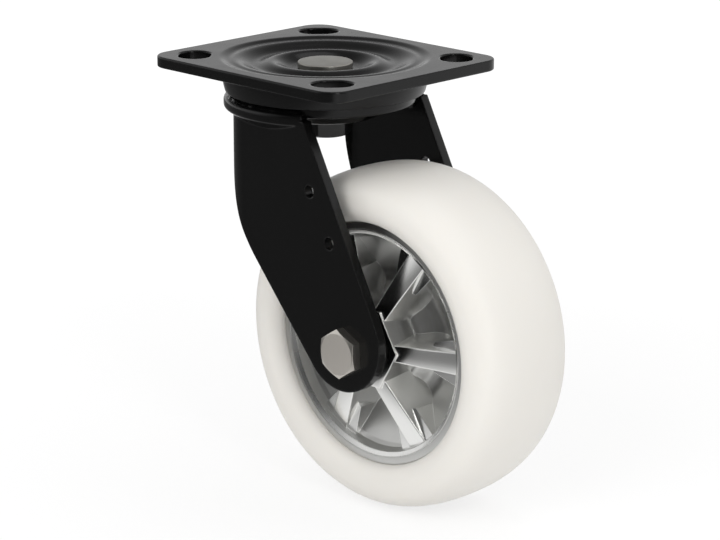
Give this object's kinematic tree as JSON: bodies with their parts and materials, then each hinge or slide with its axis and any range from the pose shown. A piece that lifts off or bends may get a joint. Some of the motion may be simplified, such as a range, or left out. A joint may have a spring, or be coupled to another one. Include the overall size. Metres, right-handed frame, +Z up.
{
  "type": "industrial swivel castor with top plate",
  "caption": "Industrial swivel castor with a black pressed steel plate and fork and a white solid tyre on a spoked die-cast aluminium wheel centre",
  "frame": {"origin": "on the swivel axis, at the top face of the plate that is bolted to the machine", "axes": "+Z up out of the plate's top face, +X the trailing direction in which the axle lies, Y along the axle, bolt head on the -Y side"},
  "size_m": [0.182, 0.1058, 0.19],
  "materials": {
    "black_paint": "satin black powder coat on steel sheet",
    "dark_steel": "dark coated steel with a dull sheen",
    "plated_steel": "satin nickel or zinc plated steel",
    "bearing_steel": "ground bearing steel",
    "cast_aluminium": "bright die-cast aluminium, rim face turned",
    "white_nylon": "solid moulded white nylon with a soft sheen",
    "seal_rubber": "black rubber seal"
  },
  "bodies": {
    "plate": {"top_plate": "black_paint", "dust_skirt": "dark_steel", "king_pin": "plated_steel", "king_pin_nut": "dark_steel", "lower_race": "black_paint", "upper_balls": "bearing_steel", "lower_balls": "bearing_steel"},
    "fork": {"fork_crown": "black_paint", "fork_leg_near": "black_paint", "fork_leg_far": "black_paint", "axle_bolt": "plated_steel", "axle_washer": "plated_steel", "axle_nut": "plated_steel", "spacer_near": "dark_steel", "spacer_far": "dark_steel", "bearing_spacer": "bearing_steel", "bearing_inner_near": "bearing_steel", "bearing_inner_far": "bearing_steel"},
    "wheel": {"tyre": "white_nylon", "wheel_centre": "cast_aluminium", "bearing_outer_near": "bearing_steel", "bearing_outer_far": "bearing_steel", "bearing_balls_near": "bearing_steel", "bearing_balls_far": "bearing_steel", "bearing_seal_near": "seal_rubber", "bearing_seal_far": "seal_rubber"}
  },
  "joints": [
    {"name": "swivel", "type": "hinge", "parent": "plate", "child": "fork", "pos_m": [0, 0, -0.018], "axis": [0, 0, 1], "continuous": true},
    {"name": "wheel_spin", "type": "hinge", "parent": "fork", "child": "wheel", "pos_m": [0.05, 0, -0.115], "axis": [0, 1, 0], "continuous": true}
  ]
}
